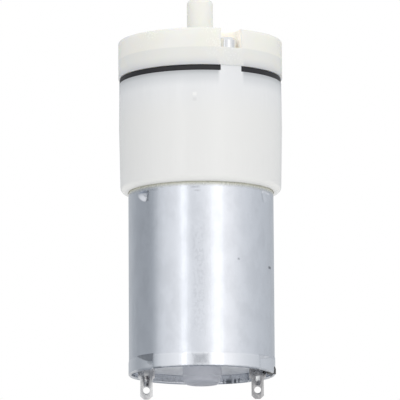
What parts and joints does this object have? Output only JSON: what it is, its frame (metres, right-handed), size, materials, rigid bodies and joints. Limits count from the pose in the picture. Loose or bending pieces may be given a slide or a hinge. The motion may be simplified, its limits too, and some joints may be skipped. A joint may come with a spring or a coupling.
{
  "type": "diaphragm vacuum pump",
  "caption": "Small round diaphragm vacuum pump: a steel can motor rocks a wobble plate and rubber cups under a plastic head with a hose nozzle on its axis.",
  "frame": {"origin": "on the motor axis, in the plane of the motor can's rear rim", "axes": "+Z along the axis from the terminals towards the hose nozzle; -Y is the side that the picture shows; the two terminals lie on +X and -X"},
  "size_m": [0.0276, 0.0276, 0.068],
  "materials": {
    "can_steel": "plated, fine drawn grain along the axis",
    "cap_steel": "plated, smooth pressed",
    "tin_plate": "tinned brass strip, satin",
    "housing_plastic": "natural white moulding, fine satin",
    "cover_plastic": "ivory moulding, fine satin",
    "black_rubber": "matt",
    "screw_steel": "bright nickel plate",
    "ferrite": "sintered, matt",
    "spring_steel": "blued spring strip",
    "core_steel": "stacked laminations",
    "shaft_steel": "ground",
    "sintered_bronze": "oiled, fine pores",
    "copper": "enamelled or bare copper",
    "black_plastic": "moulded, satin",
    "white_plastic": "moulded bearing plastic",
    "carbon": "pressed carbon",
    "varistor_ceramic": "sintered ceramic"
  },
  "bodies": {
    "root": {"motor_can": "can_steel", "end_cap": "cap_steel", "terminal_left": "tin_plate", "terminal_right": "tin_plate", "rear_bearing": "sintered_bronze", "front_bearing": "sintered_bronze", "thrust_pad": "white_plastic", "brush_carrier": "black_plastic", "brush_arms": "copper", "carbon_brushes": "carbon", "magnets": "ferrite", "magnet_clip": "spring_steel", "pump_housing": "housing_plastic", "motor_screws": "screw_steel", "diaphragm_seat": "white_plastic", "diaphragm": "black_rubber", "valve_plate": "white_plastic", "inlet_valves": "black_rubber", "exhaust_flap_ring": "black_rubber", "plenum_seal": "black_rubber", "head_cover": "cover_plastic", "head_screws": "screw_steel"},
    "rotor": {"motor_shaft": "shaft_steel", "shaft_spacer": "white_plastic", "thrust_washers": "white_plastic", "armature_core": "core_steel", "armature_insulators": "black_plastic", "armature_coils": "copper", "commutator_hub": "black_plastic", "commutator_segments": "copper", "varistor_ring": "varistor_ceramic", "crank": "white_plastic", "crank_pin": "shaft_steel"},
    "wobble": {"wobble_plate": "white_plastic"}
  },
  "joints": [
    {"name": "rotor_spin", "type": "hinge", "parent": "root", "child": "rotor", "pos_m": [0, 0, 0.015], "axis": [0, 0, 1], "continuous": true, "deforming": ["diaphragm"]},
    {"name": "wobble_turn", "type": "hinge", "parent": "rotor", "child": "wobble", "pos_m": [0, 0, 0.0442], "axis": [0.1219, 0, 0.9925], "continuous": true}
  ],
  "couplings": [
    {"joint": "wobble_turn", "follows": "rotor_spin", "ratio": -1}
  ]
}
